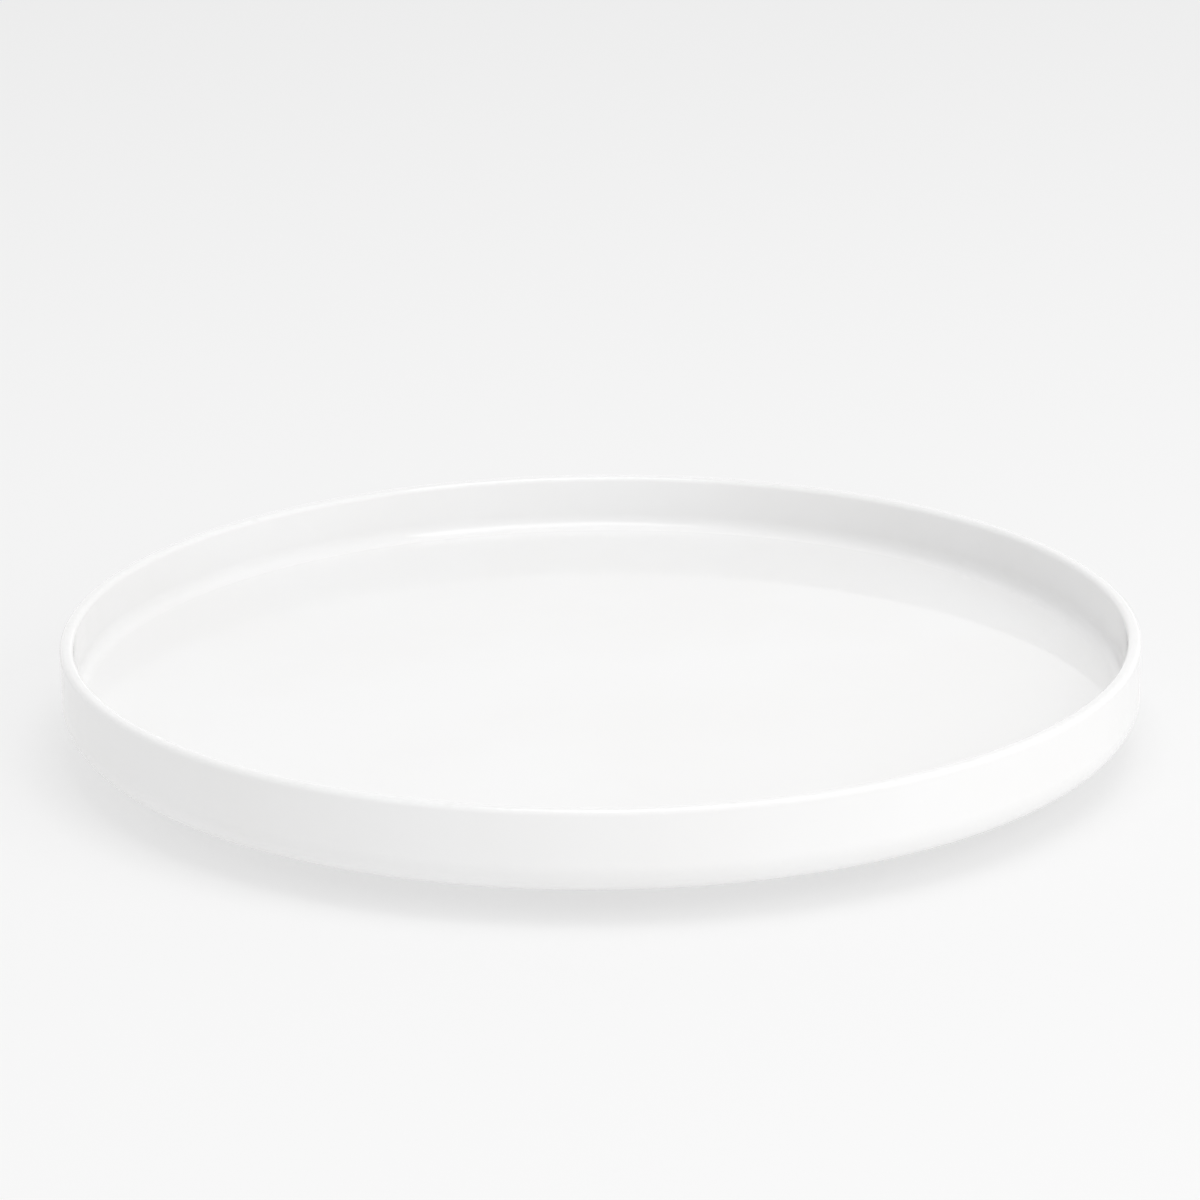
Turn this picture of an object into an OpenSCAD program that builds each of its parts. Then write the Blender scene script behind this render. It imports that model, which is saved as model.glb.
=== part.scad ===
// Lazy susan turntable: a round walled tray that turns on a ball bearing over a low base.
// Millimetres, +Z up. The origin is on the axis of rotation, level with the underside of the feet.

/* [Tray] */
// Outer diameter of the tray
tray_d = 305; // [250:1:400]
// Height of the tray from its lower edge to the top of its rim
tray_h = 24.5; // [18:0.5:60]
// Thickness of the upright wall
wall_t = 3.8; // [3.2:0.1:6]
// Thickness of the tray's floor
floor_t = 3.4; // [3:0.1:6]
// Depth of the hollow under the floor, from the tray's lower edge
skirt_h = 5.1; // [4:0.1:9]
// Width of the flat ring that the skirt ends in
skirt_w = 5.5; // [3:0.5:12]
// Radius of the outer lower corner
corner_r = 9; // [3:0.5:12]
// Radius of the fillet where the wall meets the floor
fillet_r = 4; // [1:0.5:8]
// Radius of the two edges of the rim
lip_r = 1.5; // [0.5:0.1:1.6]
// Number of ribs under the floor
tray_rib_count = 12; // [6:1:24]
// Depth of those ribs
tray_rib_h = 3; // [1.5:0.1:3.5]
// Thickness of every moulded rib
rib_t = 1.6; // [1:0.1:3]

/* [Bearing] */
// Diameter of the circle that the balls run on
pitch_d = 160; // [110:1:196]
// Diameter of one ball
ball_d = 6; // [5:0.1:7.5]
// Number of balls
ball_count = 18; // [9:1:18]
// Thickness of each race ring
race_t = 2; // [1.8:0.1:3]
// Width of a race ring outside the ball circle
race_out = 8; // [6:0.5:10]
// Width of a race ring inside the ball circle, with room for its screws
race_in = 14; // [12:0.5:18]
// Depth of the groove in each race ring
groove_depth = 1; // [0.6:0.1:1.2]
// Thickness of the cage that spaces the balls
cage_t = 2.4; // [1.6:0.1:2.8]
// Width of the cage
cage_w = 12; // [10:0.5:14]

/* [Base] */
// How far the base runs out past the race ring
base_margin = 12; // [10:0.5:18]
// Thickness of the base plate
base_t = 3; // [2.8:0.1:5]
// Thickness of the lip round the base
lip_t = 2.4; // [1.6:0.1:4]
// Radius of the base's outer lower edge
base_edge_r = 1.5; // [0.5:0.1:2]
// Number of ribs on the base, between its hub and the race ring
base_rib_count = 6; // [3:1:12]
// Height of those ribs
base_rib_h = 2; // [1:0.1:3]
// Depth of the pockets moulded into the underside
pocket_depth = 1; // [0.4:0.1:1.4]
// Number of feet
foot_count = 6; // [3:1:6]
// Diameter of a foot
foot_d = 14; // [10:0.5:16]
// How far a foot stands below the base
foot_stand = 1.5; // [1:0.1:4]
// Depth of a foot's seat in the base
foot_seat = 1; // [0.5:0.1:1.5]

/* [Pivot] */
// Diameter of the pivot screw's plain shoulder
shoulder_d = 6; // [5:0.1:8]
// Diameter of the pivot screw's thread
pivot_thread_d = 4; // [3:0.1:4.5]
// Length of the pivot screw's thread
pivot_thread_l = 4; // [3:0.1:4]
// Diameter of the pivot screw's head
pivot_head_d = 12; // [10.5:0.1:14]
// Height of the pivot screw's head
pivot_head_h = 2.2; // [2:0.1:2.6]
// Width across the corners of the head's hexagonal socket
socket_d = 4.6; // [3:0.1:5]
// Thickness of the washer over the head
washer_t = 0.8; // [0.5:0.1:1]
// Wall of the bush that the shoulder turns in
bush_wall = 2; // [1.2:0.1:3]
// Thickness of the bush's flange
bush_flange_t = 1; // [0.8:0.1:1.4]
// Wall of the brass insert in the tray
insert_wall = 1.5; // [1:0.1:2.5]
// Wall of the moulded hubs round the bush and the insert
hub_wall = 4; // [3:0.5:6]

/* [Race screws] */
// Number of screws in each race ring
screw_count = 6; // [3:1:6]
// Diameter of a screw's shank
screw_d = 2.6; // [2:0.1:3]
// Diameter of a screw's countersunk head
screw_head_d = 5; // [4:0.1:5.6]
// Length of a screw with its head
screw_l = 4.4; // [3.5:0.1:4.6]
// Width of the cross slot in a screw's head
slot_w = 0.6; // [0.4:0.1:1]

/* [Clearances] */
// Gap between a ball and the bottom of each groove
ball_gap = 0.1; // [0.05:0.01:0.2]
// Gap round a ball in its pocket
pocket_gap = 0.2; // [0.1:0.01:0.4]
// Extra radius of each groove over a ball's
groove_gap = 0.2; // [0.15:0.01:0.4]
// Gap round the shoulder in its bush
shoulder_gap = 0.05; // [0.02:0.01:0.1]
// Gap along the axis at each end of the bush
end_gap = 0.2; // [0.1:0.05:0.3]
// Gap between the base's lip and the ribs over it
lip_gap = 1; // [0.6:0.1:2]
// Gap round the pivot screw's washer in the base
washer_gap = 0.6; // [0.3:0.1:1]

/* [Hidden] */
$fn = 144;
// Overlap that lets a cut run clear of the face it opens
cut = 1;
// Fillet where the floor meets the skirt on the underside
under_fillet_r = 1.2;
// Rounding of a foot's lower edge, and of the lip's top edge
soft_edge_r = 0.6;
// Chamfer on the cage's edges
cage_edge = 0.4;
// Height of the tray's bearing seat below its floor, and how far it runs past the race ring
seat_depth = 1;
seat_margin = 2;
// Height of the tray's hub below its floor
tray_hub_h = 2.8;
// Depth of the insert below the end of the thread
insert_spare = 0.2;
// How far the washer runs out past the bush
washer_margin = 1.8;
// How far the pivot screw's head is sunk into the base
head_sink = 0.3;
// Shares of a head's height that its socket or slot takes
socket_share = 0.6;
slot_share = 0.7;
// Space between a foot and the base's lip, and between the base's hub and its pockets
foot_margin = 2;
pocket_margin = 6;
// Angle of the web between two pockets
pocket_web = 6;

tray_r = tray_d / 2;
inner_r = tray_r - wall_t;
pitch_r = pitch_d / 2;
ball_r = ball_d / 2;
race_outer_r = pitch_r + race_out;
race_inner_r = pitch_r - race_in;
screw_pitch_r = (race_inner_r + pitch_r - cage_w / 2) / 2;
groove_r = ball_r + groove_gap;
base_r = race_outer_r + base_margin;

// Heights, worked upwards from the floor that the feet stand on
base_z = foot_stand;
lower_race_z = base_z + base_t;
lower_groove_z = lower_race_z + race_t - groove_depth;
ball_z = lower_groove_z + ball_gap + ball_r;
upper_groove_z = ball_z + ball_r + ball_gap;
upper_race_z = upper_groove_z - groove_depth;
race_seat_z = upper_race_z + race_t;
under_floor_z = race_seat_z + seat_depth;
tray_floor_z = under_floor_z + floor_t;
tray_z = under_floor_z - skirt_h;
rim_z = tray_z + tray_h;
rib_z = under_floor_z - tray_rib_h;
lip_top_z = rib_z - lip_gap;

// Heights along the pivot
bush_r = shoulder_d / 2 + shoulder_gap + bush_wall;
bush_flange_r = bush_r + bush_wall;
base_hub_r = bush_r + hub_wall;
insert_r = pivot_thread_d / 2 + insert_wall;
insert_l = pivot_thread_l + insert_spare;
tray_hub_r = insert_r + hub_wall;
tray_hub_z = under_floor_z - tray_hub_h;
bush_top_z = tray_hub_z - end_gap;
base_hub_z = bush_top_z - bush_flange_t;
washer_r = bush_r + washer_margin;
recess_r = max(washer_r, pivot_head_d / 2) + washer_gap;
head_z = base_z + head_sink;
head_top_z = head_z + pivot_head_h;
recess_z = head_top_z + washer_t + end_gap;

foot_pitch_r = base_r - lip_t - foot_d / 2 - foot_margin;
skirt_r = tray_r - corner_r - skirt_w;
seat_outer_r = race_outer_r + seat_margin;
seat_inner_r = race_inner_r - seat_margin;
pocket_outer_r = screw_pitch_r - screw_head_d;
pocket_inner_r = base_hub_r + pocket_margin;

// A square piece of material with a quarter circle taken out of it. The square lies on the
// side that sx and sy point to, and the quarter circle's centre is one radius inwards.
module corner_waste(x, y, r, sx, sy) {
  translate([x, y])
    difference() {
      translate([sx > 0 ? -r : -cut, sy > 0 ? -r : -cut])
        square(r + cut);
      translate([-sx * r, -sy * r])
        circle(r);
    }
}

// A rectangle whose lower outer and upper outer corners may be round
module soft_rect(x0, y0, x1, y1, low_r = 0, high_r = 0) {
  difference() {
    translate([x0, y0])
      square([x1 - x0, y1 - y0]);
    if (low_r > 0)
      corner_waste(x1, y0, low_r, 1, -1);
    if (high_r > 0)
      corner_waste(x1, y1, high_r, 1, 1);
  }
}

// Copies its children evenly round the axis, turned by a share of one step
module around(count, turn = 0) {
  for (i = [0:count - 1])
    rotate((i + turn) * 360 / count)
      children();
}

// Radial ribs between two radii, from z0 up to z1
module ribs(count, r0, r1, z0, z1, turn = 0) {
  around(count, turn)
    translate([r0, -rib_t / 2, z0])
      cube([r1 - r0, rib_t, z1 - z0]);
}

// The tray's floor, wall and skirt in section
module tray_section() {
  difference() {
    soft_rect(0, tray_z, tray_r, rim_z, low_r = corner_r, high_r = lip_r);
    soft_rect(-cut, tray_floor_z, inner_r, rim_z + cut, low_r = fillet_r);
    corner_waste(inner_r, rim_z, lip_r, -1, 1);
    soft_rect(-cut, tray_z - cut, skirt_r, under_floor_z, high_r = under_fillet_r);
  }
}

// The tray, moulded in one piece with its bearing seat, its hub and its ribs
module tray() {
  color([0.96, 0.96, 0.95])
    difference() {
      union() {
        rotate_extrude()
          tray_section();
        // Seat that the upper race ring is screwed to
        rotate_extrude()
          translate([seat_inner_r, race_seat_z])
            square([seat_outer_r - seat_inner_r, seat_depth + floor_t / 2]);
        // Hub round the brass insert
        translate([0, 0, tray_hub_z])
          cylinder(r = tray_hub_r, h = under_floor_z - tray_hub_z + floor_t / 2);
        ribs(tray_rib_count, seat_outer_r - cut, skirt_r + cut, rib_z, under_floor_z + cut);
        ribs(tray_rib_count / 2, tray_hub_r - cut, seat_inner_r + cut, race_seat_z,
             under_floor_z + cut);
      }
      translate([0, 0, tray_hub_z - cut])
        cylinder(r = insert_r, h = insert_l + cut);
      around(screw_count, 0.5)
        translate([screw_pitch_r, 0, race_seat_z - cut])
          cylinder(d = screw_d, h = screw_l - race_t + cut);
    }
}

// A race ring with its groove and its countersunk holes, lying at z = 0 with the groove on top
module race_ring() {
  difference() {
    rotate_extrude()
      difference() {
        soft_rect(race_inner_r, 0, race_outer_r, race_t);
        translate([pitch_r, race_t - groove_depth + groove_r])
          circle(groove_r);
      }
    around(screw_count, 0.5)
      translate([screw_pitch_r, 0, 0])
        screw_hole();
  }
}

// The hole for one countersunk screw in a race ring
module screw_hole() {
  translate([0, 0, -cut])
    cylinder(d = screw_d, h = race_t + 2 * cut);
  translate([0, 0, race_t - head_cone_h()])
    cylinder(d1 = screw_d, d2 = screw_head_d, h = head_cone_h());
}

// Height of a 90 degree countersunk head
function head_cone_h() = (screw_head_d - screw_d) / 2;

// One countersunk screw whose head is flush with z = 0, pointing down
module race_screw() {
  difference() {
    union() {
      translate([0, 0, -head_cone_h()])
        cylinder(d1 = screw_d, d2 = screw_head_d, h = head_cone_h());
      translate([0, 0, -screw_l])
        cylinder(d = screw_d, h = screw_l - head_cone_h());
    }
    for (turn = [0, 90])
      rotate(turn)
        translate([-screw_head_d / 4, -slot_w / 2, -head_cone_h() * slot_share])
          cube([screw_head_d / 2, slot_w, head_cone_h()]);
  }
}

// Upper race ring, groove down, on the tray's seat
module upper_race() {
  color([0.72, 0.73, 0.75])
    translate([0, 0, race_seat_z])
      mirror([0, 0, 1])
        race_ring();
}

// Lower race ring, groove up, on the base plate
module lower_race() {
  color([0.72, 0.73, 0.75])
    translate([0, 0, lower_race_z])
      race_ring();
}

// Screws that hold the upper race ring to the tray
module upper_race_screws() {
  color([0.8, 0.8, 0.82])
    around(screw_count, 0.5)
      translate([screw_pitch_r, 0, upper_race_z])
        mirror([0, 0, 1])
          race_screw();
}

// Screws that hold the lower race ring to the base
module lower_race_screws() {
  color([0.8, 0.8, 0.82])
    around(screw_count, 0.5)
      translate([screw_pitch_r, 0, lower_race_z + race_t])
        race_screw();
}

// Brass insert in the tray's hub, for the pivot screw's thread
module pivot_insert() {
  color([0.8, 0.66, 0.35])
    translate([0, 0, tray_hub_z])
      difference() {
        cylinder(r = insert_r, h = insert_l);
        translate([0, 0, -cut])
          cylinder(d = pivot_thread_d, h = insert_l + 2 * cut);
      }
}

// Shoulder screw that holds the tray down on the bearing and turns with it
module pivot_screw() {
  color([0.75, 0.76, 0.78])
    difference() {
      union() {
        translate([0, 0, head_z])
          cylinder(d = pivot_head_d, h = pivot_head_h);
        translate([0, 0, head_top_z])
          cylinder(d = shoulder_d, h = tray_hub_z - head_top_z);
        translate([0, 0, tray_hub_z])
          cylinder(d = pivot_thread_d, h = pivot_thread_l);
      }
      translate([0, 0, head_z - cut])
        cylinder(d = socket_d, h = pivot_head_h * socket_share + cut, $fn = 6);
    }
}

// Washer between the pivot screw's head and the base
module pivot_washer() {
  color([0.75, 0.76, 0.78])
    translate([0, 0, head_top_z])
      difference() {
        cylinder(r = washer_r, h = washer_t);
        translate([0, 0, -cut])
          cylinder(d = shoulder_d, h = washer_t + 2 * cut);
      }
}

// Flanged bush pressed into the base's hub
module pivot_bush() {
  color([0.93, 0.92, 0.88])
    difference() {
      union() {
        translate([0, 0, recess_z])
          cylinder(r = bush_r, h = base_hub_z - recess_z);
        translate([0, 0, base_hub_z])
          cylinder(r = bush_flange_r, h = bush_flange_t);
      }
      translate([0, 0, recess_z - cut])
        cylinder(r = shoulder_d / 2 + shoulder_gap, h = bush_top_z - recess_z + 2 * cut);
    }
}

// The base's plate and lip in section
module base_section() {
  difference() {
    soft_rect(0, base_z, base_r, lip_top_z, low_r = base_edge_r, high_r = soft_edge_r);
    translate([-cut, lower_race_z])
      square([base_r - lip_t + cut, lip_top_z - lower_race_z + cut]);
  }
}

// The base, moulded in one piece with its lip, hub and ribs
module base() {
  pocket_angle = 360 / base_rib_count - pocket_web;
  color([0.93, 0.93, 0.92])
    difference() {
      union() {
        rotate_extrude()
          base_section();
        translate([0, 0, base_z])
          cylinder(r = base_hub_r, h = base_hub_z - base_z);
        ribs(base_rib_count, base_hub_r - cut, race_inner_r - 1, lower_race_z - cut,
             lower_race_z + base_rib_h);
      }
      // Room for the pivot screw's head, and the bush's seat
      translate([0, 0, base_z - cut])
        cylinder(r = recess_r, h = recess_z - base_z + cut);
      translate([0, 0, recess_z - cut])
        cylinder(r = bush_r, h = base_hub_z - recess_z + 2 * cut);
      around(screw_count, 0.5)
        translate([screw_pitch_r, 0, lower_race_z + race_t - screw_l])
          cylinder(d = screw_d, h = screw_l);
      for (i = [1:foot_count])
        foot_place(i)
          translate([0, 0, base_z - cut])
            cylinder(d = foot_d, h = foot_seat + cut);
      // Pockets that keep the moulding even in thickness
      around(base_rib_count)
        rotate(pocket_web / 2)
          rotate_extrude(angle = pocket_angle)
            translate([pocket_inner_r, base_z - cut])
              square([pocket_outer_r - pocket_inner_r, pocket_depth + cut]);
    }
}

// Moves its children to the place of foot i
module foot_place(i) {
  rotate((i - 1) * 360 / foot_count)
    translate([foot_pitch_r, 0, 0])
      children();
}

// One soft foot, with its lower edge rounded
module foot(i) {
  color([0.82, 0.82, 0.8])
    foot_place(i)
      rotate_extrude()
        soft_rect(0, 0, foot_d / 2, foot_stand + foot_seat, low_r = soft_edge_r);
}

// The ring that keeps the balls apart
module ball_cage() {
  color([0.9, 0.89, 0.84])
    difference() {
      rotate_extrude()
        translate([pitch_r, ball_z])
          polygon([
            [-cage_w / 2, -cage_t / 2 + cage_edge], [-cage_w / 2 + cage_edge, -cage_t / 2],
            [cage_w / 2 - cage_edge, -cage_t / 2], [cage_w / 2, -cage_t / 2 + cage_edge],
            [cage_w / 2, cage_t / 2 - cage_edge], [cage_w / 2 - cage_edge, cage_t / 2],
            [-cage_w / 2 + cage_edge, cage_t / 2], [-cage_w / 2, cage_t / 2 - cage_edge]]);
      for (i = [1:ball_count])
        ball_place(i)
          translate([0, 0, -cage_t])
            cylinder(r = ball_r + pocket_gap, h = 2 * cage_t);
    }
}

// Moves its children to the centre of ball i
module ball_place(i) {
  rotate((i - 1) * 360 / ball_count)
    translate([pitch_r, 0, ball_z])
      children();
}

// One steel ball
module ball(i) {
  color([0.78, 0.79, 0.8])
    ball_place(i)
      sphere(ball_r);
}

tray();
upper_race();
upper_race_screws();
pivot_insert();
pivot_screw();
pivot_washer();
base();
pivot_bush();
lower_race();
lower_race_screws();
ball_cage();
for (i = [1:foot_count]) foot(i);
for (i = [1:ball_count]) ball(i);
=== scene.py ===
# %% [markdown]
# # A lazy susan turntable
# This lesson dresses a finished mechanical model of a kitchen turntable: a glossy white walled
# tray that turns on a ring of steel balls over a low base. The places of all the working pieces
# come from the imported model, so nothing here is moved or resized. We add a studio, then a finer
# tray, feet and screws, and one finish for each real material.

# %% Load the working model and keep its box
import math

import bmesh
import bpy
from mathutils import Matrix, Vector


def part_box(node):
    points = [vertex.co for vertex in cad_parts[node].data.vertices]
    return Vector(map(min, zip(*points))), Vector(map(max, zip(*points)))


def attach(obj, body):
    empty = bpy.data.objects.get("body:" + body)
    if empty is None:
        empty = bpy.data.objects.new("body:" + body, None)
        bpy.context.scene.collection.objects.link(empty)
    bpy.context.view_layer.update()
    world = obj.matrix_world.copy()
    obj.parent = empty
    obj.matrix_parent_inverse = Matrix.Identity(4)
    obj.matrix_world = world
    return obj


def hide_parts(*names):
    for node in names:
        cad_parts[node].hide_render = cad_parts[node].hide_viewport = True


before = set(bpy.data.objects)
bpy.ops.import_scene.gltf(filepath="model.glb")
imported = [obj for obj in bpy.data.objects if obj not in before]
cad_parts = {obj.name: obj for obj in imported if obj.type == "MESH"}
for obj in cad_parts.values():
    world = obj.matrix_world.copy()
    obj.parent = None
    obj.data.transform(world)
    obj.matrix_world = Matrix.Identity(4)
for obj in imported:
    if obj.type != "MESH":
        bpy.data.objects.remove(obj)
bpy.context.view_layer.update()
print("pieces in the working model:", len(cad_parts))

# %% [markdown]
# ## The sizes we will need
# Sizes are read from the boxes of the model's own pieces wherever they can be. Only what a box
# can't tell, such as the thickness of the tray's wall and the radii of its corners, is given
# here.

# %% Read the driving sizes from the model
MM = 0.001
WALL = 3.8 * MM
CORNER = 9 * MM
FILLET = 4 * MM
LIP = 1.5 * MM
SKIRT_WIDTH = 5.5 * MM
UNDER_FILLET = 1.2 * MM
FLOOR_THICKNESS = 3.4 * MM
RIB = 1.6 * MM
RIB_DEPTH = 3 * MM
SEAT_MARGIN = 2 * MM
SEAT_DEPTH = 1 * MM
HUB_WALL = 4 * MM

tray_low, tray_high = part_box("tray")
race_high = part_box("upper_race")[1]
insert_low, insert_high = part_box("pivot_insert")
ball_low, ball_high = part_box("ball_1")
tray_radius = tray_high.x
race_radius = race_high.x
pitch_radius = (ball_low.x + ball_high.x) / 2
seat_height = race_high.z
under_floor = seat_height + SEAT_DEPTH
floor_height = under_floor + FLOOR_THICKNESS
balls = sorted(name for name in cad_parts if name.startswith("ball_") and name != "ball_cage")
feet = sorted(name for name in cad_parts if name.startswith("foot_"))
print(f"tray: {tray_radius * 2 / MM:.0f} mm across, rim at {tray_high.z / MM:.1f} mm")
print(f"balls: {len(balls)} on a circle of {pitch_radius * 2 / MM:.0f} mm; feet: {len(feet)}")

# %% [markdown]
# ## Camera
# A product like this looks best through a long lens from a little above, because the far rim is
# then hardly smaller than the near one. The camera aims slightly over the tray, which leaves
# more space above it than below, and it is held a fraction of a degree out of level. Aiming is
# better than shifting the lens, because a view from another side then stays centred.

# %% Place the camera
CAMERA_DISTANCE = 10 * tray_radius
CAMERA_ELEVATION = math.radians(18.5)
CAMERA_AIM_ABOVE = math.radians(0.716)
CAMERA_ROLL = math.radians(-0.46)
LENS_MM = 161.2
SENSOR_MM = 36
NEAREST = 0.05
FARTHEST = 50


def make_camera():
    """A long lens that looks along +Y from above."""
    data = bpy.data.cameras.new("camera")
    data.lens = LENS_MM
    data.sensor_width = SENSOR_MM
    data.clip_start = NEAREST
    data.clip_end = FARTHEST
    camera = bpy.data.objects.new("camera", data)
    bpy.context.scene.collection.objects.link(camera)
    back = Vector((0, -math.cos(CAMERA_ELEVATION), math.sin(CAMERA_ELEVATION)))
    middle = Vector((0, 0, (tray_low.z + tray_high.z) / 2))
    tip = Matrix.Rotation(math.pi / 2 - CAMERA_ELEVATION + CAMERA_AIM_ABOVE, 4, "X")
    roll = Matrix.Rotation(CAMERA_ROLL, 4, "Z")
    camera.matrix_world = Matrix.Translation(middle + back * CAMERA_DISTANCE) @ tip @ roll
    return camera


bpy.context.scene.camera = make_camera()
print(f"the camera stands {CAMERA_DISTANCE:.2f} m from the tray's middle")

# %% [markdown]
# ## A small language for shaders
# A finish is a tree of nodes, and node trees are hard to read as code. Three small classes help.
# `Wire` holds the output of a node and lets us write `1 - mask` or `a * b + c`, which adds the
# Math nodes for us. `Nodes` is a tree: its `add` method makes any other node from its type, its
# settings and the values or wires of its sockets. `Finish` is the tree of one material.

# %% Wires that do arithmetic
class Wire:
    """The output of one node, which can be used in sums."""

    def __init__(self, nodes, socket):
        self.nodes = nodes
        self.socket = socket

    def _sum(self, operation, first, second):
        return self.nodes.add("ShaderNodeMath", {"operation": operation}, {0: first, 1: second})

    def __add__(self, other):
        return self._sum("ADD", self, other)

    def __radd__(self, other):
        return self._sum("ADD", other, self)

    def __sub__(self, other):
        return self._sum("SUBTRACT", self, other)

    def __rsub__(self, other):
        return self._sum("SUBTRACT", other, self)

    def __mul__(self, other):
        return self._sum("MULTIPLY", self, other)

    def __rmul__(self, other):
        return self._sum("MULTIPLY", other, self)

    def __truediv__(self, other):
        return self._sum("DIVIDE", self, other)

    def __abs__(self):
        return self._sum("ABSOLUTE", self, 0.0)


print("wires can now be added, subtracted, multiplied and divided")

# %% [markdown]
# Both the world and a material own a tree of nodes. Nodes could be made one by one where they are
# needed, but a single method that always takes type, settings and sockets keeps recipes short.

# %% A tree of nodes
class Nodes:
    """A tree of nodes, and one method that adds any node to it."""

    def __init__(self, owner):
        self.owner = owner
        owner.use_nodes = True
        self.tree = owner.node_tree

    def add(self, kind, settings=None, sockets=None, output=0):
        """Adds a node: first its settings, then the values or wires of its sockets."""
        node = self.tree.nodes.new(kind)
        for name, value in (settings or {}).items():
            setattr(node, name, value)
        for name, value in (sockets or {}).items():
            if isinstance(value, Wire):
                self.tree.links.new(value.socket, node.inputs[name])
            else:
                node.inputs[name].default_value = value
        return Wire(self, node.outputs[output])

    def vector(self, operation, first, second=(0, 0, 0), output="Vector"):
        """Adds up, scales or compares vectors."""
        settings = {"operation": operation}
        return self.add("ShaderNodeVectorMath", settings, {0: first, 1: second}, output)

    def power(self, value, exponent):
        """Raises a value to a power, which tightens a soft lobe or mask."""
        return self.add("ShaderNodeMath", {"operation": "POWER"}, {0: value, 1: exponent})


print("a tree can now take any node")

# %% [markdown]
# Every material here goes through the same steps: smooth masks that say where something shows,
# noise that breaks it up, colours blended by a mask, and a fine relief. They could be node
# groups, but methods are easier to read and to change.
#
# All patterns are placed by the object's own coordinates in metres. `radius`, `height` and
# `heading` are the three that suit a turned object: how far from the axis a point is, how high,
# and in which direction.

# %% The tree of one material
# A Mix node has sockets for every kind of data, and these are its colours
MIX_SOCKETS = (6, 7)
MIX_COLOUR_OUT = 2


class Finish(Nodes):
    """One material, with its shader and the coordinates of a turned object."""

    def __init__(self, name, **constants):
        super().__init__(bpy.data.materials.new(name))
        self.shader = self.tree.nodes["Principled BSDF"]
        for socket, value in constants.items():
            self.shader.inputs[socket.replace("_", " ")].default_value = value
        self.place = self.add("ShaderNodeTexCoord", output="Object")
        self.height = self.add("ShaderNodeSeparateXYZ", sockets={0: self.place}, output="Z")
        flat = self.vector("MULTIPLY", self.place, (1, 1, 0))
        self.radius = self.vector("LENGTH", flat, output="Value")
        self.heading = self.vector("NORMALIZE", flat)

    def blend(self, mask, first, second):
        """The first colour where the mask is 0, and the second where it is 1."""
        colours = dict(zip(MIX_SOCKETS, (first, second)))
        return self.add(
            "ShaderNodeMix", {"data_type": "RGBA"}, {0: mask, **colours}, output=MIX_COLOUR_OUT
        )

    def ramp(self, value, low, high):
        """0 below low, 1 above high, and a smooth rise between them."""
        return self.add(
            "ShaderNodeMapRange",
            {"interpolation_type": "SMOOTHSTEP"},
            {"Value": value, "From Min": low, "From Max": high},
        )

    def noise(self, size, detail=2.0, place=None):
        """Cloudy noise from 0 to 1 whose patches are about `size` metres across."""
        return self.add(
            "ShaderNodeTexNoise",
            sockets={"Vector": place or self.place, "Scale": 1 / size, "Detail": detail},
        )

    def swirl(self, width, arcs, detail=1.0):
        """Noise drawn out round the axis: rings `width` apart that break up `arcs` times a turn."""
        rise = self.add("ShaderNodeCombineXYZ", sockets={"Z": self.radius / width})
        place = self.vector("ADD", self.vector("MULTIPLY", self.heading, (arcs, arcs, 0)), rise)
        return self.add(
            "ShaderNodeTexNoise", sockets={"Vector": place, "Scale": 1.0, "Detail": detail}
        )

    def feed(self, socket, wire):
        """Lets a wire drive one of the shader's sockets."""
        self.tree.links.new(wire.socket, self.shader.inputs[socket])

    def relief(self, height):
        """Uses a height in metres as fine relief on the surface."""
        bump = self.add("ShaderNodeBump", sockets={"Height": height, "Distance": 1.0})
        self.feed("Normal", bump)

    def put_on(self, *things):
        """Gives each object this finish and nothing else."""
        for thing in things:
            thing.data.materials.clear()
            thing.data.materials.append(self.owner)


def grey(value, warmth=0.0):
    """A neutral colour, made a little warmer where warmth is above 0."""
    return (value, value * (1 - warmth / 2), value * (1 - warmth), 1)


print("ready to mix finishes")

# %% [markdown]
# ## Studio
# White on white is lit with a tent: a pale table and soft white light from all round. The shape
# is then drawn by small differences. One large lamp stands low at the right front, so the wall
# of the tray shades from bright at the right to darker at the left, and a second one hangs over
# the tray to keep its floor white. The tent itself is the world's light: an even part, a
# brighter horizon, and two wide soft lobes, one behind the tray that its floor reflects and one
# at the left.

# %% Build the tent
TENT = 0.54
HORIZON = 0.45
HORIZON_TIGHTNESS = 6
# Each lobe has its azimuth and elevation in degrees, its tightness and its strength
LOBES = [(90, 14, 7, 0.42), (205, 10, 3, 0.17)]


def direction(azimuth, elevation):
    """A unit vector: azimuth from +X towards +Y, and elevation above the table, in degrees."""
    around, up = math.radians(azimuth), math.radians(elevation)
    return Vector((math.cos(around) * math.cos(up), math.sin(around) * math.cos(up), math.sin(up)))


def make_tent():
    """Even light from all round and a bright horizon, with soft lobes added to them."""
    tent = Nodes(bpy.data.worlds.new("tent"))
    towards = tent.add("ShaderNodeTexCoord", output="Generated")
    up = tent.add("ShaderNodeSeparateXYZ", sockets={0: towards}, output="Z")
    total = TENT + HORIZON * tent.power(1 - abs(up), HORIZON_TIGHTNESS)
    for azimuth, elevation, tightness, strength in LOBES:
        facing = tent.vector("DOT_PRODUCT", towards, direction(azimuth, elevation), "Value")
        total = total + strength * tent.power((1 + facing) / 2, tightness)
    background = tent.tree.nodes["Background"]
    background.inputs["Color"].default_value = grey(1)
    tent.tree.links.new(total.socket, background.inputs["Strength"])
    return tent.owner


bpy.context.scene.world = make_tent()
bpy.context.scene.view_settings.view_transform = "Standard"
print("tent: even light of", TENT, "with", len(LOBES), "soft lobes")

# %% [markdown]
# The table glows a little, as a light table does. This keeps it white, and leaves only a soft
# shadow under the tray. It lies a hair under the feet, so that no surfaces coincide. The lamps
# are wide squares close to the tray, because a small or distant lamp would draw hard shadows.

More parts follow.
